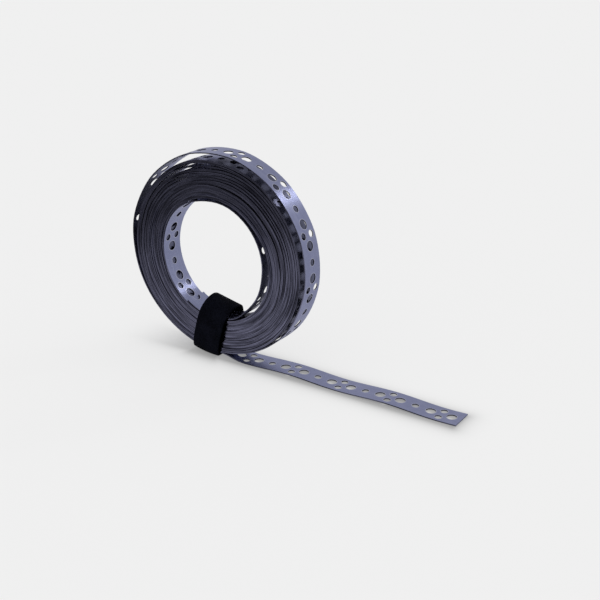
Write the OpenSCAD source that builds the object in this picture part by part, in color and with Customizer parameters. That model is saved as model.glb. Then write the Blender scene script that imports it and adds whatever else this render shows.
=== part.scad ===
// Coil of perforated steel strap, standing on its rim, with its free end laid out along the floor
// and a hook-and-loop tie round its turns. Millimetres, +Z up, +X along the free end.

/* [Strap] */
// Width of the strap
strap_w = 17; // [14:0.5:20]
// Thickness of the strap
strap_t = 0.7; // [0.6:0.05:1]

/* [Holes] */
// Length of strap after which the hole pattern repeats
period = 34; // [30:0.5:38]
// Diameter of the large holes
large_d = 6.3; // [5:0.1:7]
// Diameter of the small holes
small_d = 4.4; // [3:0.1:5]
// Distance along the strap between the two large holes of a group
large_spacing = 13.6; // [12:0.1:15]
// Distance across the strap between the two small holes of a group
small_spacing = 8.4; // [7:0.1:9]

/* [Packed turns] */
// Diameter of the bore of the packed turns
bore_d = 81.4; // [70:0.2:100]
// Number of packed turns
turns = 28; // [20:1:34]
// Mean gap between neighbouring turns
turn_gap = 0.08; // [0.02:0.01:0.15]
// Width of the groove that shows between two turns
groove_w = 0.26; // [0.16:0.02:0.36]
// Depth of that groove
groove_depth = 0.5; // [0.2:0.05:0.8]

/* [Loose outer turn] */
// Gap to the packed turns on the side of the free end
outer_gap_right = 1.9; // [1.2:0.1:4]
// Gap to the packed turns on top
outer_gap_top = 4.4; // [2:0.1:6]
// Gap to the packed turns high on the left, where it is widest
outer_gap_high = 4.7; // [3:0.1:8]
// Gap to the packed turns where the turn bends down on the left
outer_gap_bend = 4.3; // [2:0.1:7]
// Gap to the packed turns on the left
outer_gap_left = 2.3; // [1.5:0.1:4]
// Gap to the packed turns at the tie
outer_gap_tie = 0.3; // [0.2:0.1:0.8]

/* [Loose inner turn] */
// Gap to the packed turns at the inner cut
inner_gap_cut = 0.2; // [0.1:0.1:1]
// Gap to the packed turns at the tie
inner_gap_tie = 1.9; // [1:0.1:3]
// Gap to the packed turns on the side of the free end
inner_gap_right = 5.7; // [2:0.1:8]
// Gap to the packed turns where the turn climbs back to them
inner_gap_top = 2.6; // [1.5:0.1:5]
// Distance from the inner cut to the first large hole, which the cut runs through
inner_land = 2.3; // [1:0.1:6]

/* [Free end] */
// Length of the free end, from under the coil's axis to the cut
tail_len = 170; // [150:1:200]
// Distance from the last large hole to the cut
end_land = 6.4; // [4.5:0.1:9]
// Rise of the waves in the free end
wave_rise = 1.3; // [0.5:0.1:2.5]

/* [Tie] */
// Width of the tie
tie_w = 20; // [16:0.5:24]
// Thickness of one layer of the tie
tie_t = 1.3; // [1:0.1:1.6]
// Slack of the tie beside each edge of the strap
tie_slack = 1; // [0.3:0.1:1.5]
// Clearance between the strap and the tie beneath it
tie_seat = 0.2; // [0.1:0.1:0.4]
// Height of the tie's bight above the inner turn
tie_bight = 7; // [3:0.5:9]
// Inner radius of the tie's bends at the bight
bight_r = 8; // [1:0.5:9]
// Distance of the tie's middle from under the coil's axis, at the floor
tie_offset = 7.5; // [4:0.5:12]
// Lean of the tie from upright, in degrees
tie_lean = 12; // [0:1:16]

/* [Hidden] */
$fn = 96;

steel = [0.46, 0.47, 0.54];
black = [0.05, 0.05, 0.07];

// Packed turns
pitch = strap_t + turn_gap;
bore_r = bore_d / 2;
pack_r = bore_r + turns * pitch;

// The tie's closure is lapped under the coil, so two layers lie on the floor there
lap_t = 2 * tie_t;
seat_z = lap_t + tie_seat;
axis_z = seat_z + strap_t + outer_gap_tie + pack_r;

// Free end: the waves are two periods long, with their valleys and crests at the small pairs
last_pair = tail_len - end_land - large_spacing / 2;
tail_groups = floor((last_pair - period / 4) / period) + 1;
first_pair = last_pair - (tail_groups - 1) * period;
lead_x = first_pair - period / 2;

// Gaps of the loose turns from the packed ones, as [angle about the axis, gap].
// At one end each loose turn is sunk in the packed ones, which it belongs to.
sunk = -strap_t - 0.4;
outer_start = -104;
under_axis = 270;
outer_gaps = [[outer_start, sunk], [-28, outer_gap_right], [92, outer_gap_top], [120, outer_gap_high],
              [160, outer_gap_bend], [196, outer_gap_left], [232, outer_gap_tie], [under_axis, outer_gap_tie]];
inner_start = -125;
inner_end = 140;
inner_gaps = [[inner_start, inner_gap_cut], [-106, inner_gap_tie], [-72, inner_gap_tie],
              [-10, inner_gap_right], [25, inner_gap_right], [104, inner_gap_top], [inner_end, sunk]];
// Angles from where and up to where the loose turns stand clear of the packed ones
outer_free = -62;
inner_free = 118;

turn_steps = 120;
inner_steps = 84;
tail_step = 2;

// One period of the pattern: [place along the strap, place across it, diameter]
pattern = [[0, 0, small_d],
           [period / 2 - large_spacing / 2, 0, large_d],
           [period / 2, -small_spacing / 2, small_d],
           [period / 2, small_spacing / 2, small_d],
           [period / 2 + large_spacing / 2, 0, large_d]];

function ease(u) = (1 - cos(180 * u)) / 2;

// Value at angle a of a list of [angle, value], eased from one entry to the next
function eased(list, a, i = 0) =
    i == len(list) - 2 || a <= list[i + 1][0]
        ? list[i][1] + (list[i + 1][1] - list[i][1]) * ease((a - list[i][0]) / (list[i + 1][0] - list[i][0]))
        : eased(list, a, i + 1);

// Radius of the middle of the strap's thickness
function outer_r(a) = pack_r + eased(outer_gaps, a) + strap_t / 2;
function inner_r(a) = bore_r - eased(inner_gaps, a) - strap_t / 2;

function outer_angle(i) = outer_start + (under_axis - outer_start) * i / turn_steps;
function inner_angle(i) = inner_start + (inner_end - inner_start) * i / inner_steps;

function polar(r, a) = [r * cos(a), axis_z + r * sin(a)];

// Height of the underside of the free end
function tail_z(x) =
    x < lead_x ? seat_z
    : x < first_pair ? seat_z * (1 - ease((x - lead_x) / (first_pair - lead_x)))
    : wave_rise * ease((x - first_pair) / period);

outer_path = [for (i = [0:turn_steps]) polar(outer_r(outer_angle(i)), outer_angle(i))];
inner_path = [for (i = [0:inner_steps]) polar(inner_r(inner_angle(i)), inner_angle(i))];
tail_steps = ceil(tail_len / tail_step);
tail_path = [for (i = [1:tail_steps]) let (x = tail_len * i / tail_steps) [x, tail_z(x) + strap_t / 2]];

// Distance along a path up to each of its points
function run(path) =
    [for (i = 0, s = 0; i < len(path); s = s + norm(path[min(i + 1, len(path) - 1)] - path[i]), i = i + 1) s];

// Tables from distance to angle: back from under the axis, and on from the inner cut
outer_run = run(outer_path);
outer_len = outer_run[turn_steps];
outer_table = [for (i = [0:turn_steps]) [outer_len - outer_run[i], outer_angle(i)]];
inner_run = run(inner_path);
inner_len = inner_run[inner_steps];
inner_table = [for (i = [0:inner_steps]) [inner_run[i], inner_angle(i)]];

// Angle of a place on the outer or the inner strand, which run on into the packed turns at its ends
function outer_place(s) =
    s < outer_len ? lookup(s, outer_table) : outer_start - (s - outer_len) / (pack_r - strap_t / 2) * 180 / PI;
function inner_place(s) =
    s < inner_len ? lookup(s, inner_table) : inner_end + (s - inner_len) / (bore_r + strap_t / 2) * 180 / PI;

// Place of the whole part, so that its origin is under the middle of its bounding box
left_x = min([for (p = outer_path) p[0]]) - strap_t / 2;
centre_x = (left_x + tail_len) / 2;

// Unit normal of a path at point i
function normal(path, i) =
    let (d = path[min(i + 1, len(path) - 1)] - path[max(i - 1, 0)]) [-d[1], d[0]] / norm(d);

// A strip of strap whose thickness follows a path in the XZ plane
module strip(path) {
    last = len(path) - 1;
    above = [for (i = [0:last]) path[i] + normal(path, i) * strap_t / 2];
    below = [for (i = [last:-1:0]) path[i] - normal(path, i) * strap_t / 2];
    rotate([90, 0, 0]) linear_extrude(strap_w, center = true) polygon(concat(above, below));
}

// A drill towards the axis at angle a, y across the strap, from radius r0 to radius r1
module radial_drill(r0, r1, a, y, d) {
    translate([0, y, axis_z]) rotate([0, -a, 0]) translate([r0, 0, 0]) rotate([0, 90, 0])
        cylinder(d = d, h = r1 - r0);
}

// Holes of the loose outer turn, counted back from the free end
module outer_holes() {
    for (k = [1:ceil(outer_len / period)], hole = pattern) {
        a = outer_place(k * period - hole[0] - lead_x);
        r = outer_r(a);
        if (a > outer_free && a < under_axis) radial_drill(r - strap_t, r + strap_t, a, hole[1], hole[2]);
    }
}

// The pattern goes on round the outside of the packed turns, one strap deep
module rim_holes() {
    once_round = 360 - (outer_free - outer_start);
    reach = outer_len + once_round * PI / 180 * pack_r;
    for (k = [floor(outer_len / period):ceil(reach / period)], hole = pattern) {
        a = outer_place(k * period - hole[0] - lead_x);
        if (a < outer_start && a > outer_start - once_round)
            radial_drill(pack_r - strap_t, pack_r + strap_t, a, hole[1], hole[2]);
    }
}

// Holes of the loose inner turn, counted from its cut
function inner_hole_angle(k, hole) = inner_place(inner_land - pattern[4][0] + k * period + hole[0]);

module inner_holes() {
    for (k = [0:ceil(inner_len / period)], hole = pattern) {
        a = inner_hole_angle(k, hole);
        r = inner_r(a);
        if (a > inner_start && a < inner_free) radial_drill(r - strap_t, r + strap_t, a, hole[1], hole[2]);
    }
}

// The pattern goes on round the bore of the packed turns, one strap deep, back to the inner cut
module bore_holes() {
    once_round = inner_start + 360;
    reach = inner_len + (once_round - inner_end) * PI / 180 * bore_r;
    for (k = [floor(inner_len / period) - 1:ceil(reach / period)], hole = pattern) {
        a = inner_hole_angle(k, hole);
        if (a >= inner_free && a < once_round)
            radial_drill(bore_r - inner_gap_top - strap_t, bore_r + strap_t, a, hole[1], hole[2]);
    }
}

// Holes of the free end, drilled upright
module tail_holes() {
    depth = seat_z + wave_rise + 4 * strap_t;
    for (k = [0:tail_groups - 1], hole = pattern)
        translate([lead_x + k * period + hole[0], hole[1], -strap_t]) cylinder(d = hole[2], h = depth);
}

// The packed turns as one turned solid, with a groove on each end between every two turns
module packed_turns() {
    half = strap_w / 2;
    near = [for (i = [1:turns - 1], g = [[-1, 0], [0, 1], [1, 0]])
        [bore_r + i * pitch + g[0] * groove_w / 2, -half + g[1] * groove_depth]];
    far = [for (i = [len(near) - 1:-1:0]) [near[i][0], -near[i][1]]];
    translate([0, 0, axis_z]) rotate([90, 0, 0]) rotate_extrude($fn = 180)
        polygon(concat([[bore_r, -half]], near, [[pack_r, -half], [pack_r, half]], far, [[bore_r, half]]));
}

module inner_turn() {
    difference() {
        strip(inner_path);
        inner_holes();
    }
}

module outer_turn() {
    difference() {
        strip(concat(outer_path, tail_path));
        outer_holes();
        tail_holes();
    }
}

module strap() {
    color(steel) translate([-centre_x, 0, 0]) {
        difference() {
            union() {
                packed_turns();
                inner_turn();
            }
            rim_holes();
            bore_holes();
        }
        outer_turn();
    }
}

// Points of a rectangle from a to b, its lower corners rounded by low and its upper ones by high
function round_rect(a, b, low, high, steps = 6) =
    [for (c = [[b[0] - high, b[1] - high, 0, high], [a[0] + high, b[1] - high, 90, high],
               [a[0] + low, a[1] + low, 180, low], [b[0] - low, a[1] + low, 270, low]], i = [0:steps])
        let (t = c[2] + 90 * i / steps) [c[0] + c[3] * cos(t), c[1] + c[3] * sin(t)]];

module hook_and_loop_tie() {
    inside = strap_w / 2 + tie_slack;
    top_z = axis_z - bore_r + inner_gap_tie + strap_t + tie_bight;
    half_run = tie_w / 2 / cos(tie_lean);
    reach = 3 * tie_w;
    drift = tan(tie_lean);
    mid_low = -tie_offset - drift * tie_t;
    mid_high = -tie_offset + drift * (top_z + 2 * tie_t);
    color(black) translate([-centre_x, 0, 0]) intersection() {
        rotate([90, 0, 90]) linear_extrude(reach, center = true) difference() {
            polygon(round_rect([-inside - tie_t, 0], [inside + tie_t, top_z + tie_t],
                               tie_slack + tie_t, bight_r + tie_t));
            polygon(round_rect([-inside, lap_t], [inside, top_z], tie_slack, bight_r));
        }
        rotate([90, 0, 0]) linear_extrude(reach, center = true)
            polygon([[mid_low - half_run, -tie_t], [mid_low + half_run, -tie_t],
                     [mid_high + half_run, top_z + 2 * tie_t], [mid_high - half_run, top_z + 2 * tie_t]]);
    }
}

strap();
hook_and_loop_tie();
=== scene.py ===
"""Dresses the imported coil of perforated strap: the wound strap with its holes, its tie, floor and light."""

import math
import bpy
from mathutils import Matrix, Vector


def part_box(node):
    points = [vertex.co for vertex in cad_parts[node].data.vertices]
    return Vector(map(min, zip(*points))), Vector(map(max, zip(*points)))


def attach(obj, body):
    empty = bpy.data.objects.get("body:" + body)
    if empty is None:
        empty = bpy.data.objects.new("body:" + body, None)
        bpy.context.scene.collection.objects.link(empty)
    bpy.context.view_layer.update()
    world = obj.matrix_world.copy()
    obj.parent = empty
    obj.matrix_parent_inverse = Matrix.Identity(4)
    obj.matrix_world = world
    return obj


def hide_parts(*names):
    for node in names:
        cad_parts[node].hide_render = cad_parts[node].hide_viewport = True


bl_info = {
    "name": "Perforated Strap Coil",
    "version": (1, 0, 0),
    "blender": (4, 5, 0),
    "location": "View3D > Sidebar > Strap Coil",
    "description": "Builds a coil of perforated steel strap with its free end, its tie and a studio floor",
    "category": "Object",
}

import bmesh
import bpy
import numpy as np
from bpy.props import FloatProperty, FloatVectorProperty, IntProperty, PointerProperty
from mathutils import Matrix, Vector
from mathutils.bvhtree import BVHTree

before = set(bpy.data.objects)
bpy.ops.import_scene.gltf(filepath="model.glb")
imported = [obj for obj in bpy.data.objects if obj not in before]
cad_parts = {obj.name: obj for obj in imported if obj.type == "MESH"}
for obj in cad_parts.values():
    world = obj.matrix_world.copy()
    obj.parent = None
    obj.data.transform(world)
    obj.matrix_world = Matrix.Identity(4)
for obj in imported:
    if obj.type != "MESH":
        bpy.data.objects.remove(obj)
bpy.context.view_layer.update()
STRAP_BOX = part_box("strap")

BODY = "root"

# The winding is laid out in steps of this many degrees, so a whole number of them makes a turn
STEP_DEG = 3
TURN_STEPS = 360 // STEP_DEG
# Angles about the axis, in degrees. The winding starts before the inner cut and is then trimmed to it
WIND_START = -180
INNER_CUT = -125
UNDER_AXIS = 270
# Largest distance between points along the free end
TAIL_STEP = 0.002

# Steps along one period of the strap's mesh, sides of its holes, and the distance at which points are one
CELL_STEPS = 8
LARGE_SIDES = 24
SMALL_SIDES = 18
WELD = 2e-5


def length(name, text, default):
    """A property for a length in metres."""
    return FloatProperty(name=name, description=text, default=default, min=0, precision=5,
                         subtype="DISTANCE", unit="LENGTH")


def colour(name, text, default):
    """A property for a linear colour."""
    return FloatVectorProperty(name=name, description=text, default=default, size=3, min=0, max=1,
                               subtype="COLOR")


class StrapSizes(bpy.types.PropertyGroup):
    """Sizes of the strap, its holes and its winding."""

    width: length("Width", "Width of the strap", 0.017)
    thickness: length("Thickness", "Thickness of the strap", 0.0007)
    period: length("Period", "Length after which the hole pattern repeats", 0.034)
    large_d: length("Large hole", "Diameter of the large holes", 0.0063)
    small_d: length("Small hole", "Diameter of the small holes", 0.0044)
    large_spacing: length("Large spacing", "Distance between the large holes of a group", 0.0136)
    small_spacing: length("Small spacing", "Distance between the small holes of a group", 0.0084)
    end_land: length("End land", "Distance from the middle of the last large hole to the cut", 0.0064)
    inner_land: length("Inner land", "Distance from the inner cut to the middle of its large hole", 0.0002)
    bore_d: length("Bore", "Diameter of the bore of the packed turns", 0.0814)
    pack_r: length("Packed radius", "Outer radius of the packed turns", 0.06254)
    tail_len: length("Free end", "Length of the free end from under the axis", 0.170)
    wave_rise: length("Wave rise", "Rise of the waves in the free end", 0.0013)
    seat: length("Seat", "Height of the strap over the floor at the tie", 0.0028)
    slack: length("Slack", "Least gap between two packed turns", 0.00002)
    stagger: length("Stagger", "How far a turn may lie to the side of the others", 0.00042)
    kink: length("Kink", "How far the loose turn stands out where a group of holes weakens it", 0.00030)
    turns: IntProperty(name="Turns", description="Turns from the first one up to the loose outer one",
                       default=29, min=10, max=40)


class TieSizes(bpy.types.PropertyGroup):
    """Sizes of the hook-and-loop tie."""

    width: length("Width", "Width of the tie along the floor", 0.0195)
    thickness: length("Thickness", "Thickness of one layer", 0.0013)
    offset: length("Offset", "Distance of the tie's middle from under the axis", 0.0079)
    lean: FloatProperty(name="Lean", description="Lean of the tie from upright", default=math.radians(12),
                        subtype="ANGLE", unit="ROTATION")


class Finishes(bpy.types.PropertyGroup):
    """Colours of the strap, the tie and the floor."""

    zinc: colour("Zinc", "Zinc coat of the strap", (0.206, 0.221, 0.352))
    zinc_pale: colour("Pale zinc", "Paler places of the zinc coat", (0.264, 0.282, 0.426))
    # Painted shade: faces that lie against the next turn are coloured darker for the shade between packed
    # turns
    painted_pack_shade: colour("Covered zinc", "Duller faces that lie against the next turn", (0.105, 0.110, 0.166))
    slit_edge: colour("Slit edge", "Middle of the slit edges of the strap", (0.160, 0.161, 0.238))
    slit_dull: colour("Dull slit edge", "Duller runs of the slit edges", (0.039, 0.039, 0.058))
    # Painted shade: the corners of the slit edges are coloured dark for the shade in the gaps between turns
    edge_corner_shade: colour("Burr", "Dark corners of the slit edges", (0.012, 0.012, 0.018))
    # Partly painted shade: the sheared hole walls are bare steel and also coloured darker for the shade
    # inside the holes
    hole_wall: colour("Hole wall", "Sheared walls of the holes", (0.07, 0.07, 0.10))
    # Partly painted highlight: the rims round the holes are burnished and also coloured lighter for the light
    # they catch
    punched: colour("Punched rim", "Burnished rims of the holes", (0.42, 0.43, 0.54))
    glance: colour("Glance", "Tint of the zinc at glancing angles", (0.82, 0.82, 0.88))
    tie: colour("Tie", "Woven face of the tie", (0.0006, 0.0007, 0.0018))
    tie_thread: colour("Tie thread", "Raised threads of the tie", (0.0050, 0.0056, 0.0110))
    floor: colour("Floor", "Floor and backdrop", (0.871, 0.871, 0.871))


def add(tree, kind, inputs=None, **settings):
    """One node with its settings, and its inputs as plain values or as other nodes' sockets."""
    made = tree.nodes.new(kind)
    for key, value in settings.items():
        setattr(made, key, value)
    for key, value in (inputs or {}).items():
        if isinstance(value, bpy.types.NodeSocket):
            tree.links.new(value, made.inputs[key])
        else:
            made.inputs[key].default_value = value
    return made


def maths(tree, operation, *values):
    """The result of a Math node."""
    return add(tree, "ShaderNodeMath", dict(enumerate(values)), operation=operation).outputs[0]


def xyz(tree, x=0.0, y=0.0, z=0.0):
    """A vector from three values or sockets."""
    return add(tree, "ShaderNodeCombineXYZ", {"X": x, "Y": y, "Z": z}).outputs[0]


def vector_maths(tree, operation, *values, out=0):
    """The result of a Vector Math node."""
    return add(tree, "ShaderNodeVectorMath", dict(enumerate(values)), operation=operation).outputs[out]


def smoothed(tree, value, start, end, low=0.0, high=1.0):
    """A value that goes smoothly from low to high as another goes from start to end."""
    return add(tree, "ShaderNodeMapRange", {"Value": value, "From Min": start, "From Max": end,
                                            "To Min": low, "To Max": high},
               interpolation_type="SMOOTHSTEP").outputs[0]


def stored(tree, geometry, name, value, kind="FLOAT_VECTOR", domain="POINT"):
    """A geometry that carries a named attribute."""
    return add(tree, "GeometryNodeStoreNamedAttribute", {"Geometry": geometry, "Name": name, "Value": value},
               data_type=kind, domain=domain).outputs[0]


def joined(tree, parts):
    """Several geometries as one."""
    made = tree.nodes.new("GeometryNodeJoinGeometry")
    for part in parts:
        tree.links.new(part, made.inputs[0])
    return made.outputs[0]


def geometry_tree(name, inputs):
    """An empty tree of Geometry Nodes with named inputs, and its two ends."""
    tree = bpy.data.node_groups.new(name, "GeometryNodeTree")
    tree.interface.new_socket("Path", in_out="INPUT", socket_type="NodeSocketGeometry")
    for label, kind in inputs:
        tree.interface.new_socket(label, in_out="INPUT", socket_type=kind)
    tree.interface.new_socket("Piece", in_out="OUTPUT", socket_type="NodeSocketGeometry")
    return tree, tree.nodes.new("NodeGroupInput").outputs, tree.nodes.new("NodeGroupOutput").inputs


def grown(name, path, tree, values):
    """A plain mesh object grown by a tree along a path of points."""
    line = bpy.data.meshes.new(name + "_path")
    line.from_pydata([tuple(p) for p in path], [(i, i + 1) for i in range(len(path) - 1)], [])
    piece = bpy.data.objects.new(name, line)
    bpy.context.scene.collection.objects.link(piece)
    modifier = piece.modifiers.new(name, "NODES")
    modifier.node_group = tree
    for item in tree.interface.items_tree:
        if item.in_out == "INPUT" and item.name in values:
            modifier[item.identifier] = values[item.name]
    depsgraph = bpy.context.evaluated_depsgraph_get()
    mesh = bpy.data.meshes.new_from_object(piece.evaluated_get(depsgraph))
    piece.modifiers.remove(modifier)
    piece.data = mesh
    mesh.name = name
    bpy.data.meshes.remove(line)
    if not mesh.polygons:
        raise RuntimeError(f"the tree of {name} made no faces")
    return piece


def flowing(keys, angle):
    """Values at some angles of a list of (angle, value), on a smooth curve through the entries."""
    at = np.asarray(angle, float)
    angles, values = np.array(keys, float).T
    slopes = np.gradient(values, angles)
    i = np.clip(np.searchsorted(angles, at) - 1, 0, len(keys) - 2)
    step = angles[i + 1] - angles[i]
    u = np.clip((at - angles[i]) / step, 0, 1)
    ends = values[i] * (1 + 2 * u) * (1 - u) ** 2 + values[i + 1] * (3 - 2 * u) * u ** 2
    return ends + step * u * (1 - u) * (slopes[i] * (1 - u) - slopes[i + 1] * u)


def eased(keys, angle):
    """Values at some angles of a list of (angle, value), eased from one entry to the next."""
    at = np.asarray(angle, float)
    angles, values = np.array(keys, float).T
    i = np.clip(np.searchsorted(angles, at) - 1, 0, len(keys) - 2)
    u = np.clip((at - angles[i]) / (angles[i + 1] - angles[i]), 0, 1)
    return values[i] + (values[i + 1] - values[i]) * (1 - np.cos(np.pi * u)) / 2


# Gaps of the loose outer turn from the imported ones, as (degrees about the axis, metres)
OUTER_GAPS = [(-104, -0.0011), (-66, 0.0002), (-34, 0.0016), (-22, 0.0021), (-6, 0.0025), (10, 0.0028),
              (26, 0.0031), (42, 0.0034), (58, 0.0039), (74, 0.0044), (92, 0.0047), (114, 0.0050),
              (136, 0.0048), (154, 0.0046), (166, 0.0045), (172, 0.0043), (184, 0.0033), (196, 0.0026),
              (208, 0.0018), (220, 0.0009), (232, 0.0003), (UNDER_AXIS, 0.0003)]
# The loose inner turn, inwards from the plain bore, and the first packed turn, outwards from it
INNER_GAPS = [(INNER_CUT, 0.0002), (-106, 0.0002), (-76, 0.0003), (-65, 0.0009), (-55, 0.0026), (-44, 0.0034),
              (-30, 0.0042), (-10, 0.0056), (5, 0.0058), (38, 0.0055), (61, 0.0047), (80, 0.0036),
              (104, 0.0026), (139, -0.0008), (180, -0.00155)]
BORE_WALL = [(-180, 0.00085), (-150, 0.0004), (-95, 0.0001), (-50, 0.0002), (-28, -0.0003), (-3, -0.0015),
             (22, -0.0024), (40, -0.0034), (60, -0.0032), (80, -0.0026), (100, -0.0015), (125, -0.0002),
             (180, 0.0012)]
# The part of the outer turn that stands free and kinks at its groups of holes
LOOSE_SPAN = [(-60, 0.0), (-20, 1.0), (150, 1.0), (190, 0.0)]
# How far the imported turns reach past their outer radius, most at the upper left, where they fan out
SWELL = [(-180, 0.0003), (-150, -0.0003), (-128, -0.0010), (-104, -0.0008), (-85, -0.0003), (-60, 0.0),
         (-38, -0.0001), (-15, -0.0004), (10, -0.0007), (35, -0.0008), (50, -0.0004), (65, 0.0001),
         (85, 0.0002), (97, 0.0007), (110, 0.0013), (122, 0.0013), (145, 0.0012), (165, 0.0012),
         (180, 0.0010)]

# Places where neighbouring turns stand apart, as (turn, angle, reach in degrees, weight of the gap there)
LOOSE_PLACES = [
    (13, 50, 50, 0.8), (14, -5, 26, 0.5), (16, -48, 28, 0.8), (28, 20, 50, 0.3), (27, 70, 40, 0.6),
    (26, 107, 15, 14.0), (25, 113, 21, 9.0), (25, 150, 25, 9.0), (23, 114, 18, 3.0), (24, 148, 26, 3.5),
    (22, 118, 20, 3.0), (22, 150, 28, 4.5), (20, 120, 20, 2.5), (20, 150, 30, 4.0), (18, 150, 34, 1.6),
    (11, 190, 60, 0.5), (15, 170, 60, 0.5), (19, 200, 60, 0.7), (23, 185, 60, 0.9), (26, 205, 50, 0.9),
    (19, -58, 30, 0.8), (23, -62, 30, 1.0), (27, -58, 30, 1.2),
]
# Angles between which the turns fan out and their faces stay bright, without the painted shade between turns
FANNED = (98, 140)
# Turns of the looser outer half lie in pairs on the side towards the free end
PAIRED_FROM = 13
PAIRED_AT = 35
PAIRED_REACH = 80
PAIRED_WEIGHT = 0.9
# Weights of the other gaps: the least one, what unevenness adds, the share of that in the tight inner half,
# and the turns over which the halves merge
LEAST_WEIGHT = 0.03
UNEVEN_WEIGHT = 0.15
TIGHT_SHARE = 0.1
MERGED_TURNS = 3
# Degrees between two random draws of the gap and of the shift to the side, and the seeds of the draws
GAP_DEG = 28
GAP_SEED = 11
STAGGER_DEG = 120
STAGGER_SEED = 5
# The shift to the side fades out over this many degrees before the last turn
STAGGER_FADE = 90
# Least room that the gaps share
LEAST_ROOM = 0.0004
# Least and most scale of the room that brings a large hole to the inner cut, and the halvings that find it
LOOSENESS = (0.85, 1.15)
HALVINGS = 30


def turn_gaps(angles, turns, room):
    """Gap under the strap at each angle of the winding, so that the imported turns' gaps fill the room."""
    rng = np.random.default_rng(GAP_SEED)
    knots = np.arange(angles[0], angles[-1] + GAP_DEG, GAP_DEG)
    uneven = eased(list(zip(knots, rng.random(len(knots)))), angles)
    turn = np.arange(len(angles)) // TURN_STEPS
    about = np.resize(angles[:TURN_STEPS], len(angles))
    paired = (turn % 2 == PAIRED_FROM % 2) & (turn >= PAIRED_FROM)
    looser = np.clip((turn - PAIRED_FROM + MERGED_TURNS) / MERGED_TURNS, TIGHT_SHARE, 1)
    weight = LEAST_WEIGHT + UNEVEN_WEIGHT * uneven ** 4 * looser
    towards_end = np.exp(-(((about - PAIRED_AT) / PAIRED_REACH) ** 2))
    weight += paired * (PAIRED_WEIGHT + PAIRED_WEIGHT * uneven ** 2) * towards_end
    for place, at, reach, more in LOOSE_PLACES:
        weight += more * np.exp(-(((angles - at - 360 * place) / reach) ** 2))
    packed = weight[2 * TURN_STEPS:turns * TURN_STEPS].reshape(-1, TURN_STEPS).sum(0)
    return weight * np.resize(room / packed, len(angles))


def wound_radii(sizes, looseness):
    """Angles and radii of the strap's middle, from before the inner cut to under the axis."""
    t, bore_r = sizes.thickness, sizes.bore_d / 2
    angles = np.arange(WIND_START, UNDER_AXIS + 360 * sizes.turns + 1, STEP_DEG, dtype=float)
    first = angles[:TURN_STEPS]
    inner = bore_r - t / 2 - flowing(INNER_GAPS, first)
    wall = np.maximum(inner + t + sizes.slack, bore_r + t / 2 + flowing(BORE_WALL, first))
    room = sizes.pack_r + flowing(SWELL, first) - wall + t / 2 - (sizes.turns - 1) * t
    gaps = turn_gaps(angles, sizes.turns, looseness * np.maximum(room, LEAST_ROOM))
    radii = np.empty(len(angles))
    radii[:TURN_STEPS] = inner
    radii[TURN_STEPS:2 * TURN_STEPS] = wall
    for i in range(2 * TURN_STEPS, len(angles)):
        radii[i] = radii[i - TURN_STEPS] + t + max(gaps[i], sizes.slack)
    last = angles - 360 * sizes.turns
    outer = sizes.pack_r + t / 2 + flowing(OUTER_GAPS, last)
    free = last > OUTER_GAPS[0][0]
    radii[free] = np.maximum(radii[free] - gaps[free] + sizes.slack, outer[free])
    return angles, radii


def tail_heights(sizes, x):
    """Heights of the underside of the free end at distances from under the axis."""
    half, period = sizes.large_spacing / 2, sizes.period
    last_pair = sizes.tail_len - sizes.end_land - half
    groups = math.floor((last_pair - period / 4) / period) + 1
    first_pair = last_pair - (groups - 1) * period
    lead = first_pair - period / 2
    down = sizes.seat * (1 + np.cos(np.pi * np.clip((x - lead) / (first_pair - lead), 0, 1))) / 2
    waves = sizes.wave_rise * (1 - np.cos(np.pi * (x - first_pair) / period)) / 2
    return np.where(x < first_pair, down, waves)


def run_along(points):
    """Distances along a path to each of its points."""
    return np.concatenate([[0], np.cumsum(np.linalg.norm(np.diff(points, axis=0), axis=1))])


def strap_path(sizes, looseness):
    """Points along the strap's middle, the distance to each, and the distance at the inner cut."""
    t = sizes.thickness
    angles, radii = wound_radii(sizes, looseness)
    axis_x = STRAP_BOX[1].x - sizes.tail_len
    axis_z = sizes.seat + t + OUTER_GAPS[-1][1] + sizes.pack_r
    turned = np.radians(angles)
    rng = np.random.default_rng(STAGGER_SEED)
    knots = np.arange(angles[0], angles[-1] + STAGGER_DEG, STAGGER_DEG)
    side = eased(list(zip(knots, rng.uniform(-1, 1, len(knots)))), angles) * sizes.stagger
    side *= np.clip((angles[-1] - 360 - angles) / STAGGER_FADE, 0, 1)
    steps = math.ceil(sizes.tail_len / TAIL_STEP)
    x = sizes.tail_len * np.arange(1, steps + 1) / steps
    tail = np.stack([axis_x + x, 0 * x, tail_heights(sizes, x) + t / 2], 1)

    def laid(radii):
        coil = np.stack([axis_x + radii * np.cos(turned), side, axis_z + radii * np.sin(turned)], 1)
        return np.concatenate([coil, tail])

    run = run_along(laid(radii))
    to_pair = (run[-1] - run[:len(angles)] - sizes.end_land - sizes.large_spacing / 2) / sizes.period
    # A third is the mean of the kinks' shape, so the turn keeps its mean radius
    kinked = (1 - 2 * np.abs(to_pair - np.round(to_pair))) ** 2 - 1 / 3
    last = angles - 360 * sizes.turns
    points = laid(radii + sizes.kink * kinked * eased(LOOSE_SPAN, last))
    run = run_along(points)
    return points, run, float(np.interp(INNER_CUT, angles, run[:len(angles)]))


def phased_path(sizes):
    """The path that puts a large hole at the inner cut, reached by a slightly tighter or looser winding."""
    group_end = sizes.end_land + sizes.inner_land

    def misfit(looseness):
        run, cut = strap_path(sizes, looseness)[1:]
        return (run[-1] - cut - group_end) / sizes.period

    low, high = LOOSENESS
    whole = round(misfit(1.0))
    for _ in range(HALVINGS):
        middle = (low + high) / 2
        if misfit(middle) < whole:
            low = middle
        else:
            high = middle
    return strap_path(sizes, middle)


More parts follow.
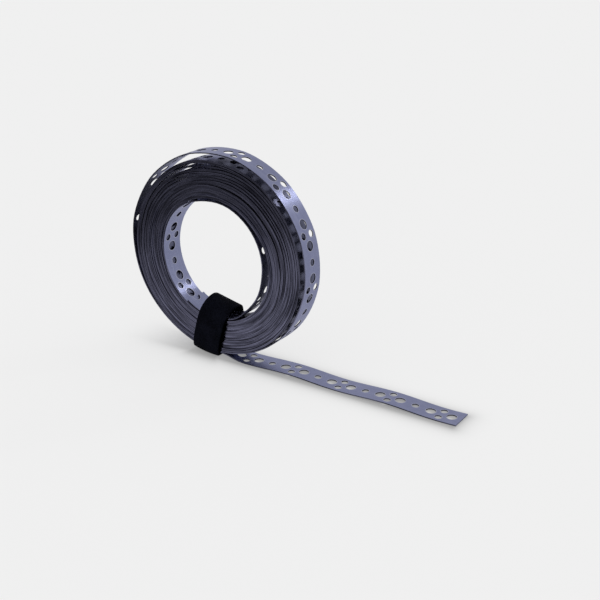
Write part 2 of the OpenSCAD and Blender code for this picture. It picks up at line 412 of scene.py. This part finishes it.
def perforated_strap_tree():
    """Geometry Nodes that punch one period of strap, repeat it, and lay the row of periods along a path."""
    lengths = ["Width", "Thickness", "Period", "Large hole", "Small hole", "Large spacing", "Small spacing",
               "End land", "First period"]
    tree, given, result = geometry_tree(
        "perforated_strap",
        [(label, "NodeSocketFloat") for label in lengths]
        + [("Periods", "NodeSocketInt"), ("Material", "NodeSocketMaterial")])
    half_period = maths(tree, "MULTIPLY", given["Period"], 0.5)

    grid = add(tree, "GeometryNodeMeshGrid", {"Size X": given["Period"], "Size Y": given["Width"],
                                              "Vertices X": CELL_STEPS + 1, "Vertices Y": 3})
    neighbours = add(tree, "GeometryNodeInputMeshEdgeNeighbors").outputs[0]
    rim = add(tree, "FunctionNodeCompare", {2: neighbours, 3: 1}, data_type="INT", operation="EQUAL")
    outline = add(tree, "GeometryNodeMeshToCurve", {"Mesh": grid.outputs[0], "Selection": rim.outputs[0]})

    last_large = maths(tree, "SUBTRACT", half_period, given["End land"])
    pair = maths(tree, "MULTIPLY_ADD", given["Large spacing"], -0.5, last_large)
    first_large = maths(tree, "SUBTRACT", last_large, given["Large spacing"])
    single = maths(tree, "SUBTRACT", pair, half_period)
    across = maths(tree, "MULTIPLY", given["Small spacing"], 0.5)
    back_across = maths(tree, "MULTIPLY", given["Small spacing"], -0.5)
    punched = {}
    for label, sides in (("Large hole", LARGE_SIDES), ("Small hole", SMALL_SIDES)):
        radius = maths(tree, "MULTIPLY", given[label], 0.5)
        punched[label] = add(tree, "GeometryNodeCurvePrimitiveCircle",
                             {"Resolution": sides, "Radius": radius})
    holes = [("Large hole", first_large, 0.0), ("Large hole", last_large, 0.0), ("Small hole", single, 0.0),
             ("Small hole", pair, across), ("Small hole", pair, back_across)]
    outlines = [outline.outputs[0]]
    for label, x, y in holes:
        moved = add(tree, "GeometryNodeTransform",
                    {"Geometry": punched[label].outputs[0], "Translation": xyz(tree, x, y)})
        outlines.append(moved.outputs[0])
    plate = add(tree, "GeometryNodeFillCurve", {"Curve": joined(tree, outlines)})

    down = xyz(tree, 0.0, 0.0, maths(tree, "MULTIPLY", given["Thickness"], -0.5))
    lower = add(tree, "GeometryNodeTransform", {"Geometry": plate.outputs[0], "Translation": down})
    raised = add(tree, "GeometryNodeExtrudeMesh", {"Mesh": lower.outputs[0], "Offset": (0, 0, 1),
                                                   "Offset Scale": given["Thickness"], "Individual": False})
    under = add(tree, "GeometryNodeFlipFaces", {"Mesh": lower.outputs[0]})
    closed = add(tree, "GeometryNodeMergeByDistance",
                 {"Geometry": joined(tree, [raised.outputs[0], under.outputs[0]]), "Distance": WELD})
    place = add(tree, "ShaderNodeSeparateXYZ", {0: add(tree, "GeometryNodeInputPosition").outputs[0]})
    at_end = maths(tree, "GREATER_THAN", maths(tree, "ABSOLUTE", place.outputs[0]),
                   maths(tree, "SUBTRACT", half_period, WELD))
    cell = add(tree, "GeometryNodeDeleteGeometry", {"Geometry": closed.outputs[0], "Selection": at_end},
               domain="FACE", mode="ALL")

    line = add(tree, "GeometryNodeMeshLine",
               {"Count": given["Periods"], "Offset": xyz(tree, given["Period"]),
                "Start Location": xyz(tree, maths(tree, "ADD", given["First period"], half_period))})
    row = add(tree, "GeometryNodeInstanceOnPoints", {"Points": line.outputs[0], "Instance": cell.outputs[0]})
    flat = add(tree, "GeometryNodeRealizeInstances", {"Geometry": row.outputs[0]})
    flat = add(tree, "GeometryNodeMergeByDistance", {"Geometry": flat.outputs[0], "Distance": WELD})
    position = add(tree, "GeometryNodeInputPosition").outputs[0]
    marked = stored(tree, flat.outputs[0], "flat", position)
    facing = add(tree, "GeometryNodeInputNormal").outputs[0]
    marked = stored(tree, marked, "flat_facing", facing, domain="FACE")

    path = add(tree, "GeometryNodeMeshToCurve", {"Mesh": given["Path"]})
    place = add(tree, "ShaderNodeSeparateXYZ", {0: position})
    sample = add(tree, "GeometryNodeSampleCurve", {"Curves": path.outputs[0], "Length": place.outputs[0]},
                 mode="LENGTH", use_all_curves=True)
    outward = vector_maths(tree, "CROSS_PRODUCT", (0, 1, 0), sample.outputs["Tangent"])
    outward = vector_maths(tree, "NORMALIZE", outward)
    raised_by = add(tree, "ShaderNodeVectorMath", {0: outward, "Scale": place.outputs[2]},
                    operation="SCALE").outputs[0]
    laid = vector_maths(tree, "ADD", sample.outputs["Position"], xyz(tree, 0.0, place.outputs[1]))
    bent = add(tree, "GeometryNodeSetPosition",
               {"Geometry": marked, "Position": vector_maths(tree, "ADD", laid, raised_by)})
    outside = add(tree, "GeometryNodeFlipFaces", {"Mesh": bent.outputs[0]})
    shown = add(tree, "GeometryNodeSetMaterial",
                {"Geometry": outside.outputs[0], "Material": given["Material"]})
    tree.links.new(shown.outputs[0], result[0])
    return tree


def trim_strap(piece, points, run, cut):
    """Cuts the inner end through its large hole and closes both ends of the strap."""
    mesh = bmesh.new()
    mesh.from_mesh(piece.data)
    flat = mesh.verts.layers.float_vector["flat"]
    at = int(np.searchsorted(run, cut))
    near = (cut - run[at - 1]) / (run[at] - run[at - 1])
    middle = Vector(points[at - 1]).lerp(Vector(points[at]), near)
    along = (Vector(points[at]) - Vector(points[at - 1])).normalized()
    reach = cut + 0.5 * (run[-1] - run[0]) / len(run)
    first = [f for f in mesh.faces if min(v[flat].x for v in f.verts) < reach]
    # In the order of the faces, so every run cuts alike
    geometry = dict.fromkeys(e for f in first for e in (*f.verts, *f.edges, f))
    bmesh.ops.bisect_plane(mesh, geom=list(geometry), plane_co=middle, plane_no=along, clear_inner=True)
    open_edges = [e for e in mesh.edges if e.is_boundary]
    bmesh.ops.holes_fill(mesh, edges=open_edges, sides=0)
    still_open = sum(1 for e in mesh.edges if e.is_boundary)
    mesh.to_mesh(piece.data)
    mesh.free()
    if still_open:
        raise RuntimeError(f"{still_open} edges of the strap are open")


# How squarely a face of the flat strap points up, down or sideways to count as a side or as a slit edge
LEVEL_FACING = 0.9
SLIT_FACING = 0.98
# The most that a hole's wall may point up or down
WALL_FACING = 0.1


def smooth_strap(piece, sizes, points, run, first_period):
    """Normals that follow the winding on the strap's faces, its slit edges and the walls of its holes."""
    mesh = piece.data
    loops, polygons = len(mesh.loops), len(mesh.polygons)
    vertex = np.empty(loops, np.int32)
    mesh.loops.foreach_get("vertex_index", vertex)
    sides = np.empty(polygons, np.int32)
    mesh.polygons.foreach_get("loop_total", sides)
    face = np.repeat(np.arange(polygons), sides)
    flat = np.empty(len(mesh.vertices) * 3, np.float32)
    mesh.attributes["flat"].data.foreach_get("vector", flat)
    flat = flat.reshape(-1, 3).astype(float)[vertex]
    facing = np.empty(polygons * 3, np.float32)
    mesh.attributes["flat_facing"].data.foreach_get("vector", facing)
    facing = facing.reshape(-1, 3)
    # The faces that close the strap's ends have no facing
    laid = np.linalg.norm(facing, axis=1) > 0.5

    tangents = np.gradient(points, axis=0)
    tangents[:, 1] = 0
    tangents /= np.linalg.norm(tangents, axis=1)[:, None]
    along = np.stack([np.interp(flat[:, 0], run, tangents[:, i]) for i in range(3)], 1)
    along /= np.linalg.norm(along, axis=1)[:, None]
    outward = np.cross([0, 1, 0], along)

    half_period = sizes.period / 2
    x = (flat[:, 0] - first_period) % sizes.period - half_period
    last = half_period - sizes.end_land
    pair = last - sizes.large_spacing / 2
    centres = np.array([[last, 0], [last - sizes.large_spacing, 0], [pair - half_period, 0],
                        [pair, sizes.small_spacing / 2], [pair, -sizes.small_spacing / 2]])
    to_centre = centres[None] - np.stack([x, flat[:, 1]], 1)[:, None]
    distance = np.linalg.norm(to_centre, axis=2)
    radii = np.array([sizes.large_d, sizes.large_d] + [sizes.small_d] * 3) / 2
    nearest = np.abs(distance - radii).argmin(1)
    rows = np.arange(loops)
    inwards = to_centre[rows, nearest] / distance[rows, nearest][:, None]

    normals = np.zeros((loops, 3))
    up = facing[face, 2]
    level = np.abs(up) > LEVEL_FACING
    normals[level] = outward[level] * np.sign(up[level])[:, None]
    slit = np.abs(facing[face, 1]) > SLIT_FACING
    slit &= np.abs(np.abs(flat[:, 1]) - sizes.width / 2) < WELD
    normals[slit, 1] = np.sign(flat[slit, 1])
    wall = ~level & ~slit & (np.abs(up) < WALL_FACING) & laid[face]
    normals[wall] = along[wall] * inwards[wall, :1]
    normals[wall, 1] += inwards[wall, 1]
    normals[~laid[face]] = 0

    coil_end = len(run) - 1 - math.ceil(sizes.tail_len / TAIL_STEP)
    bore_end = round((INNER_CUT + 360 - WIND_START) / STEP_DEG)
    about = (WIND_START + STEP_DEG * np.interp(flat[:, 0], run, np.arange(len(run)))) % 360
    outside = flat[:, 0] < run[coil_end - TURN_STEPS]
    inside = (flat[:, 0] > run[bore_end]) & (flat[:, 0] < run[coil_end])
    # Faces that lie against the next turn, away from the fanned part, are marked for painted shade
    painted_pack_shade = level & ((about < FANNED[0]) | (about > FANNED[1])) & np.where(up > 0, outside, inside)
    for name, marked in (("slit_edge", slit), ("hole_wall", wall), ("painted_pack_shade", painted_pack_shade)):
        whole = np.bincount(face, marked, polygons) == sides
        mesh.attributes.new(name, "FLOAT", "FACE").data.foreach_set("value", whole.astype(np.float32))
    mesh.uv_layers.new(name="strap_run").data.foreach_set("uv", flat[:, :2].astype(np.float32).ravel())
    mesh.polygons.foreach_set("use_smooth", laid)
    mesh.normals_split_custom_set(normals.astype(np.float32))
    mesh.attributes.remove(mesh.attributes["flat_facing"])
    mesh.update()


def ramp(tree, value, low, high, start=0.0, end=1.0):
    """A colour that goes from low to high as a value goes from start to end."""
    mix = add(tree, "ShaderNodeMix", {0: smoothed(tree, value, start, end)}, data_type="RGBA")
    for socket, given in ((mix.inputs[6], low), (mix.inputs[7], high)):
        if isinstance(given, bpy.types.NodeSocket):
            tree.links.new(given, socket)
        else:
            socket.default_value = (*given, 1)
    return mix.outputs[2]


def new_material(name):
    """An empty node material, its tree and its Principled shader."""
    material = bpy.data.materials.new(name)
    material.use_nodes = True
    tree = material.node_tree
    return material, tree, tree.nodes["Principled BSDF"]


def attribute(tree, name, out="Fac"):
    """A named attribute of the mesh."""
    return add(tree, "ShaderNodeAttribute", attribute_name=name).outputs[out]


def noise(tree, place, scale, detail, roughness=0.5):
    """A value that varies without a pattern from place to place."""
    return add(tree, "ShaderNodeTexNoise", {"Vector": place, "Scale": scale, "Detail": detail,
                                            "Roughness": roughness}).outputs[0]


# Fineness of the zinc coat's rolling lines and clouds and of the slit edges' dull runs, per metre
ROLLED = (12, 900, 0)
CLOUDS = 160.0
DULL_RUNS = (28, 0, 0)
# Where the coat goes from zinc to pale zinc and the slit edge from dull to bright, in the noise's own values
PALE_RANGE = (0.32, 0.72)
DULL_RANGE = (0.35, 0.65)
# Distance from a hole at which its burnished rim, painted lighter as a highlight, starts to fade and ends
RIM_FADE = (0.00010, 0.00050)
# Where the painted shade at the slit edge's corners starts and ends, as shares of the thickness from its
# middle
EDGE_SHADE_RANGE = (0.36, 0.50)
# Roughness of the coat, what lines and clouds each add to it, and what the slit edge takes off it
COAT_ROUGH = 0.22
COAT_UNEVEN = 0.10
EDGE_POLISH = -0.08


def galvanised_steel(sizes, finishes, first_period):
    """Satin zinc coat with rolling lines along the strap, burnished rims partly painted as highlights at its
    holes, and bare slit edges, with painted shade between turns, on hole walls and at edge corners.
    """
    material, tree, shader = new_material("galvanised_strap")
    place = attribute(tree, "flat", "Vector")
    parts = add(tree, "ShaderNodeSeparateXYZ", {0: place})
    along, across = parts.outputs[0], maths(tree, "ABSOLUTE", parts.outputs[1])

    pair = first_period + sizes.period - sizes.end_land - sizes.large_spacing / 2
    from_pair = maths(tree, "PINGPONG", maths(tree, "SUBTRACT", along, pair), sizes.period / 2)
    rims = []
    for x, y, d in ((sizes.large_spacing / 2, 0, sizes.large_d), (0, sizes.small_spacing / 2, sizes.small_d),
                    (sizes.period / 2, 0, sizes.small_d)):
        offset = xyz(tree, maths(tree, "SUBTRACT", from_pair, x), maths(tree, "SUBTRACT", across, y))
        reach = vector_maths(tree, "LENGTH", offset, out=1)
        rims.append(maths(tree, "SUBTRACT", reach, d / 2))
    to_rim = maths(tree, "MINIMUM", maths(tree, "MINIMUM", rims[0], rims[1]), rims[2])

    lines = noise(tree, vector_maths(tree, "MULTIPLY", place, ROLLED), scale=1.0, detail=3.0, roughness=0.6)
    cloudy = noise(tree, place, scale=CLOUDS, detail=2.0)
    uneven = maths(tree, "MULTIPLY_ADD", lines, 0.5, maths(tree, "MULTIPLY", cloudy, 0.5))
    coat = ramp(tree, uneven, finishes.zinc, finishes.zinc_pale, *PALE_RANGE)
    # Rims round the holes, burnished and partly a painted highlight
    coat = ramp(tree, to_rim, finishes.punched, coat, *RIM_FADE)
    # Painted shade on the faces that lie against the next turn
    coat = ramp(tree, attribute(tree, "painted_pack_shade"), coat, finishes.painted_pack_shade)
    edge = attribute(tree, "slit_edge")
    runs = noise(tree, vector_maths(tree, "MULTIPLY", place, DULL_RUNS), scale=1.0, detail=3.0)
    from_middle = maths(tree, "ABSOLUTE", parts.outputs[2])
    slit = ramp(tree, runs, finishes.slit_dull, finishes.slit_edge, *DULL_RANGE)
    # Painted shade at the corners of the slit edges, for the dark gaps between turns
    slit = ramp(tree, from_middle, slit, finishes.edge_corner_shade, *(share * sizes.thickness for share in EDGE_SHADE_RANGE))
    # Hole walls darker, partly as bare steel and partly as painted shade inside the holes
    coat = ramp(tree, attribute(tree, "hole_wall"), coat, finishes.hole_wall)
    tree.links.new(ramp(tree, edge, coat, slit), shader.inputs["Base Color"])
    rough = maths(tree, "MULTIPLY_ADD", cloudy, COAT_UNEVEN, COAT_ROUGH)
    rough = maths(tree, "MULTIPLY_ADD", lines, COAT_UNEVEN, rough)
    rough = maths(tree, "MULTIPLY_ADD", edge, EDGE_POLISH, rough)
    tree.links.new(rough, shader.inputs["Roughness"])
    shader.inputs["Metallic"].default_value = 1.0
    shader.inputs["Specular Tint"].default_value = (*finishes.glance, 1)
    shader.inputs["Anisotropic"].default_value = 0.7
    shader.inputs["Anisotropic Rotation"].default_value = 0.25
    tangent = add(tree, "ShaderNodeTangent", direction_type="UV_MAP", uv_map="strap_run")
    tree.links.new(tangent.outputs[0], shader.inputs["Tangent"])
    bump = add(tree, "ShaderNodeBump", {"Height": lines, "Strength": 0.12, "Distance": 0.0002})
    tree.links.new(bump.outputs[0], shader.inputs["Normal"])
    return material


class STRAPCOIL_OT_strap(bpy.types.Operator):
    """Winds the perforated strap, with every hole along it"""

    bl_idname = "strapcoil.strap"
    bl_label = "Wind Strap"

    def execute(self, context):
        sizes, finishes = context.scene.strap_sizes, context.scene.strap_finishes
        points, run, cut = phased_path(sizes)
        periods = math.ceil((run[-1] - cut) / sizes.period)
        first_period = run[-1] - periods * sizes.period
        material = galvanised_steel(sizes, finishes, first_period)
        piece = grown("perforated_strap", points, perforated_strap_tree(), {
            "Width": sizes.width, "Thickness": sizes.thickness, "Period": sizes.period,
            "Large hole": sizes.large_d, "Small hole": sizes.small_d, "Large spacing": sizes.large_spacing,
            "Small spacing": sizes.small_spacing, "End land": sizes.end_land, "First period": first_period,
            "Periods": periods, "Material": material})
        trim_strap(piece, points, run, cut)
        smooth_strap(piece, sizes, points, run, first_period)
        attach(piece, BODY)
        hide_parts("strap")
        return {"FINISHED"}


# The tie's run round the coil, from the end of its inner layer to the end of its outer one, as (y, z)
TIE_RUN = [(-0.0074, 0.00201), (-0.002, 0.00201), (0.004, 0.00201), (0.0084, 0.00203), (0.0102, 0.0033),
           (0.0106, 0.0070), (0.0108, 0.0140), (0.0108, 0.0220), (0.0103, 0.0284), (0.0076, 0.0333),
           (0.0036, 0.0352), (0.0, 0.0353), (-0.0040, 0.0342), (-0.0075, 0.0317), (-0.0101, 0.0277),
           (-0.0112, 0.0220), (-0.0115, 0.0140), (-0.0112, 0.0085), (-0.0104, 0.0042), (-0.0090, 0.0014),
           (-0.0068, 0.00073), (0.0, 0.00069), (0.0082, 0.00069)]
# Steps between two points of the run, sides of the band's section, and its corners as a share of thickness
TIE_STEPS = 8
TIE_SIDES = 96
TIE_CORNER = 0.32
# Heights between which the band goes from hugging the coil's rim to lying square to its lean
TIE_TURN = (0.004, 0.036)
# Spacing of the tie's threads, and the fineness of its fuzz and its wear, per metre
THREAD = 0.0008
FUZZ = 900.0
WEAR = 110.0
# Shares of weave, fuzz and wear in the tie's colour, the range they cover, and the weave in its relief
WEAVE_SHARE = 0.10
FUZZ_SHARE = 0.6
WEAR_SHARE = 0.4
THREAD_RANGE = (0.34, 0.72)
WEAVE_RELIEF = 0.35


def smooth_run(knots, steps):
    """Points on a smooth curve through some knots."""
    p = np.array(knots, float)
    p = np.concatenate([[2 * p[0] - p[1]], p, [2 * p[-1] - p[-2]]])
    u = np.arange(steps) / steps
    made = []
    for a, b, c, d in zip(p, p[1:], p[2:], p[3:]):
        bend, twist = 2 * a - 5 * b + 4 * c - d, 3 * b - a - 3 * c + d
        made += [0.5 * (2 * b + (c - a) * s + bend * s ** 2 + twist * s ** 3) for s in u]
    return np.array(made + [p[-2]])


def tie_band_tree():
    """Geometry Nodes that run a band of rounded section along a path and lean it over."""
    tree, given, result = geometry_tree("tie_band", [
        ("Width", "NodeSocketFloat"), ("Thickness", "NodeSocketFloat"), ("Middle", "NodeSocketFloat"),
        ("Offset", "NodeSocketFloat"), ("Hug", "NodeSocketFloat"), ("Lean", "NodeSocketFloat"),
        ("Material", "NodeSocketMaterial")])
    path = add(tree, "GeometryNodeMeshToCurve", {"Mesh": given["Path"]})
    path = add(tree, "GeometryNodeSetCurveNormal", {"Curve": path.outputs[0], "Normal": (1, 0, 0)},
               mode="FREE")
    run = add(tree, "GeometryNodeSplineParameter").outputs["Length"]
    path = stored(tree, path.outputs[0], "tie_run", run, kind="FLOAT")
    section = add(tree, "GeometryNodeCurvePrimitiveQuadrilateral",
                  {"Width": given["Width"], "Height": given["Thickness"]})
    corner = maths(tree, "MULTIPLY", given["Thickness"], TIE_CORNER)
    section = add(tree, "GeometryNodeFilletCurve",
                  {"Curve": section.outputs[0], "Count": 3, "Radius": corner}, mode="POLY")
    section = add(tree, "GeometryNodeResampleCurve", {"Curve": section.outputs[0], "Count": TIE_SIDES})
    band = add(tree, "GeometryNodeCurveToMesh",
               {"Curve": path, "Profile Curve": section.outputs[0], "Fill Caps": True})
    position = add(tree, "GeometryNodeInputPosition").outputs[0]
    marked = stored(tree, band.outputs[0], "woven", position)
    place = add(tree, "ShaderNodeSeparateXYZ", {0: position})
    slope = maths(tree, "TANGENT", given["Lean"])
    shift = maths(tree, "MULTIPLY_ADD", place.outputs[2], slope, given["Middle"])
    top = smoothed(tree, place.outputs[2], *TIE_TURN)
    tilt = maths(tree, "MULTIPLY", maths(tree, "MULTIPLY", place.outputs[0], top),
                 maths(tree, "MULTIPLY", slope, -1.0))
    from_axis = maths(tree, "SUBTRACT", place.outputs[0], given["Offset"])
    follow = maths(tree, "MULTIPLY", maths(tree, "MULTIPLY", from_axis, from_axis),
                   maths(tree, "DIVIDE", maths(tree, "SUBTRACT", 1.0, top), given["Hug"]))
    rise = maths(tree, "ADD", tilt, follow)
    leant = add(tree, "GeometryNodeSetPosition", {"Geometry": marked, "Offset": xyz(tree, shift, 0.0, rise)})
    smooth = add(tree, "GeometryNodeSetShadeSmooth", {"Geometry": leant.outputs[0]})
    shown = add(tree, "GeometryNodeSetMaterial",
                {"Geometry": smooth.outputs[0], "Material": given["Material"]})
    tree.links.new(shown.outputs[0], result[0])
    return tree


def woven_black(finishes):
    """Matt black tape, woven over and under in fine threads with a little fuzz."""
    material, tree, shader = new_material("black_woven_tie")
    place = attribute(tree, "woven", "Vector")
    across = add(tree, "ShaderNodeSeparateXYZ", {0: place}).outputs[0]
    run = attribute(tree, "tie_run")
    warp = maths(tree, "SINE", maths(tree, "MULTIPLY", across, 2 * math.pi / THREAD))
    weft = maths(tree, "SINE", maths(tree, "MULTIPLY", run, 2 * math.pi / THREAD))
    weave = maths(tree, "MULTIPLY", warp, weft)
    fuzz = noise(tree, place, scale=FUZZ, detail=5.0, roughness=0.7)
    worn = noise(tree, place, scale=WEAR, detail=2.0)
    shade = maths(tree, "MULTIPLY_ADD", fuzz, FUZZ_SHARE, maths(tree, "MULTIPLY", worn, WEAR_SHARE))
    shade = maths(tree, "MULTIPLY_ADD", weave, WEAVE_SHARE, shade)
    threads = ramp(tree, shade, finishes.tie, finishes.tie_thread, *THREAD_RANGE)
    tree.links.new(threads, shader.inputs["Base Color"])
    shader.inputs["Roughness"].default_value = 0.85
    shader.inputs["Specular IOR Level"].default_value = 0.03
    raised = maths(tree, "MULTIPLY_ADD", weave, WEAVE_RELIEF, fuzz)
    bump = add(tree, "ShaderNodeBump", {"Height": raised, "Strength": 0.7, "Distance": 0.0003})
    tree.links.new(bump.outputs[0], shader.inputs["Normal"])
    return material


class STRAPCOIL_OT_tie(bpy.types.Operator):
    """Runs the hook-and-loop tie round the turns, lapped under the coil"""

    bl_idname = "strapcoil.tie"
    bl_label = "Fasten Tie"

    def execute(self, context):
        sizes, strap = context.scene.tie_sizes, context.scene.strap_sizes
        run = smooth_run(TIE_RUN, TIE_STEPS)
        points = np.concatenate([np.zeros((len(run), 1)), run], axis=1)
        middle = STRAP_BOX[1].x - strap.tail_len - sizes.offset
        piece = grown("hook_and_loop_tie_band", points, tie_band_tree(), {
            "Width": sizes.width, "Thickness": sizes.thickness, "Middle": middle, "Offset": sizes.offset,
            "Hug": 2 * strap.pack_r, "Lean": sizes.lean,
            "Material": woven_black(context.scene.strap_finishes)})
        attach(piece, BODY)
        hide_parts("hook_and_loop_tie")
        return {"FINISHED"}


# The camera and the point it looks at, from the floor under the axis, and its lens and sensor in millimetres
CAMERA_AT = Vector((0.39770, -0.55600, 0.31270))
CAMERA_TO = Vector((0.05720, 0.0, 0.04960))
CAMERA_ROLL = math.radians(1.59)
CAMERA_LENS = 68.65
CAMERA_SENSOR = 36.0
CAMERA_CLIP = (0.01, 100.0)
# Lamps, as (name, direction towards it, strength, spread in degrees, whether the metal mirrors it)
LAMPS = (("back_key", (0.335, 0.79, 0.505), 0.16, 8, True),
         ("soft_key", (0.1, 0.55, 0.80), 0.25, 45, False),
         ("top_fill", (-0.3, -0.1, 1.0), 0.25, 80, False))
# Strength of the backdrop as a light, the height from which it looks dimmer, and what is left of it overhead
WORLD_FILL = 0.95
OVERHEAD_FROM = 0.45
OVERHEAD_LEFT = 0.68
# Half of the floor's side
FLOOR_HALF = 12.0
# The floor's mesh is fine where it is shaded under and round the coil, as (from, to) along x and y
SHADED_X = (-0.14, 0.15)
SHADED_Y = (-0.06, 0.06)
SHADED_STEP = 0.001
# Shade of the floor right under the coil, the distance over which it fades, the side it falls to, and what a
# height over the floor counts against a distance along it
SHADE = 0.60
SHADE_FADE = 0.0072
SHADE_SIDE = Vector((-0.0010, -0.0021, 0))
SHADE_HEIGHT = 0.27
# Where the floor that the metal mirrors dims to the front left, as distances along x and y together, and what
# is left of it there
FLOOR_FADE = (0.225, 0.47)
FLOOR_LEFT = 0.05
# Share of the floor's brightness that the lamps give
FLOOR_LIT = 0.2


def seen_rays(tree):
    """One for rays of the camera and of mirrored or passing views, and zero for light."""
    light = add(tree, "ShaderNodeLightPath").outputs
    return maths(tree, "MAXIMUM", light["Is Camera Ray"],
                 maths(tree, "MAXIMUM", light["Is Glossy Ray"], light["Is Transmission Ray"]))


def floor_shade(pieces, places):
    """Share of its brightness that the floor keeps at some places near the pieces."""
    squashed = []
    for piece in pieces:
        corners = [Vector((v.co.x, v.co.y, v.co.z * SHADE_HEIGHT)) for v in piece.data.vertices]
        squashed.append(BVHTree.FromPolygons(corners, [tuple(p.vertices) for p in piece.data.polygons]))
    clear = [min(tree.find_nearest(place - SHADE_SIDE)[3] for tree in squashed) for place in places]
    return 1 - SHADE * np.exp(-np.array(clear) / SHADE_FADE)


def studio_floor(tint):
    """Pale floor, evenly lit to the eye, shaded close to the coil, dimmer in the metal at the front left."""
    material, tree, shader = new_material("studio_floor")
    shade = attribute(tree, "shade")
    place = add(tree, "ShaderNodeTexCoord").outputs["Object"]
    off_left = vector_maths(tree, "DOT_PRODUCT", place, (-1, -1, 0), out=1)
    lit = smoothed(tree, off_left, *FLOOR_FADE, low=1.0, high=FLOOR_LEFT)
    mirrored = add(tree, "ShaderNodeLightPath").outputs["Is Glossy Ray"]
    dimmed = maths(tree, "MULTIPLY_ADD", mirrored, maths(tree, "SUBTRACT", lit, 1.0), 1.0)
    shade = maths(tree, "MULTIPLY", shade, dimmed)
    seen = seen_rays(tree)
    tree.links.new(ramp(tree, shade, (0, 0, 0), tint), shader.inputs["Emission Color"])
    tree.links.new(maths(tree, "MULTIPLY", seen, 1 - FLOOR_LIT), shader.inputs["Emission Strength"])
    tree.links.new(ramp(tree, seen, tint, [FLOOR_LIT * v for v in tint]), shader.inputs["Base Color"])
    shader.inputs["Roughness"].default_value = 1.0
    shader.inputs["Specular IOR Level"].default_value = 0.0
    return material


def lit_world(tint):
    """A world that is seen as the backdrop, dimmer overhead, and that fills the shadows a little less."""
    world = bpy.data.worlds.new("studio")
    bpy.context.scene.world = world
    world.use_nodes = True
    tree = world.node_tree
    seen = seen_rays(tree)
    background = tree.nodes["Background"]
    background.inputs["Color"].default_value = (*tint, 1)
    towards = add(tree, "ShaderNodeSeparateXYZ", {0: add(tree, "ShaderNodeTexCoord").outputs["Generated"]})
    dimmed = smoothed(tree, towards.outputs[2], OVERHEAD_FROM, 1.0, low=1.0, high=OVERHEAD_LEFT)
    mirrored = maths(tree, "MULTIPLY", seen, maths(tree, "SUBTRACT", dimmed, WORLD_FILL))
    tree.links.new(maths(tree, "ADD", mirrored, WORLD_FILL), background.inputs["Strength"])


class STRAPCOIL_OT_stage(bpy.types.Operator):
    """Lays the floor and sets the lamps and the camera"""

    bl_idname = "strapcoil.stage"
    bl_label = "Set Stage"

    def execute(self, context):
        scene, finishes = context.scene, context.scene.strap_finishes
        scene.view_settings.view_transform = "Standard"
        lit_world(finishes.floor)

        mesh = bpy.data.meshes.new("studio_floor")
        xs, ys = ([-FLOOR_HALF, *np.arange(low, high, SHADED_STEP), FLOOR_HALF]
                  for low, high in (SHADED_X, SHADED_Y))
        places = [Vector((x, y, 0)) for y in ys for x in xs]
        row = len(xs)
        mesh.from_pydata(places, [], [(i, i + 1, i + row + 1, i + row) for j in range(len(ys) - 1)
                                      for i in range(j * row, (j + 1) * row - 1)])
        pieces = [scene.objects["perforated_strap"], scene.objects["hook_and_loop_tie_band"]]
        mesh.attributes.new("shade", "FLOAT", "POINT").data.foreach_set("value", floor_shade(pieces, places))
        mesh.materials.append(studio_floor(finishes.floor))
        floor = bpy.data.objects.new("studio_floor", mesh)
        scene.collection.objects.link(floor)

        for name, towards, strength, spread, mirrored in LAMPS:
            lamp = bpy.data.lights.new(name, "SUN")
            lamp.energy = strength
            lamp.angle = math.radians(spread)
            rig = bpy.data.objects.new(name, lamp)
            rig.visible_glossy = mirrored
            rig.rotation_mode = "QUATERNION"
            rig.rotation_quaternion = Vector(towards).to_track_quat("Z", "Y")
            scene.collection.objects.link(rig)

        camera = bpy.data.objects.new("photo_camera", bpy.data.cameras.new("photo_camera"))
        camera.data.sensor_width = CAMERA_SENSOR
        camera.data.lens = CAMERA_LENS
        camera.data.clip_start, camera.data.clip_end = CAMERA_CLIP
        under_axis = Vector((STRAP_BOX[1].x - scene.strap_sizes.tail_len, 0, 0))
        back = (CAMERA_AT - CAMERA_TO).normalized()
        right = Vector((0, 0, 1)).cross(back).normalized()
        up = back.cross(right)
        turned = [math.cos(CAMERA_ROLL) * right + math.sin(CAMERA_ROLL) * up,
                  math.cos(CAMERA_ROLL) * up - math.sin(CAMERA_ROLL) * right, back]
        place = Matrix(turned).transposed().to_4x4()
        place.translation = under_axis + CAMERA_AT
        camera.matrix_world = place
        scene.collection.objects.link(camera)
        scene.camera = camera
        return {"FINISHED"}


class STRAPCOIL_PT_panel(bpy.types.Panel):
    """Lists the steps that build the coil, and their sizes and colours"""

    bl_idname = "STRAPCOIL_PT_panel"
    bl_label = "Strap Coil"
    bl_space_type = "VIEW_3D"
    bl_region_type = "UI"
    bl_category = "Strap Coil"

    def draw(self, context):
        for operator in OPERATORS:
            self.layout.operator(operator.bl_idname)
        for group in (context.scene.strap_sizes, context.scene.tie_sizes, context.scene.strap_finishes):
            column = self.layout.column()
            for name in group.__annotations__:
                column.prop(group, name)


GROUPS = {"strap_sizes": StrapSizes, "tie_sizes": TieSizes, "strap_finishes": Finishes}
OPERATORS = (STRAPCOIL_OT_strap, STRAPCOIL_OT_tie, STRAPCOIL_OT_stage)


def register():
    for group in (*GROUPS.values(), *OPERATORS, STRAPCOIL_PT_panel):
        bpy.utils.register_class(group)
    for name, group in GROUPS.items():
        setattr(bpy.types.Scene, name, PointerProperty(type=group))


def unregister():
    for name in GROUPS:
        delattr(bpy.types.Scene, name)
    for group in (STRAPCOIL_PT_panel, *reversed(OPERATORS), *GROUPS.values()):
        bpy.utils.unregister_class(group)


def main():
    register()
    bpy.ops.strapcoil.strap()
    bpy.ops.strapcoil.tie()
    bpy.ops.strapcoil.stage()


if __name__ == "__main__":
    main()
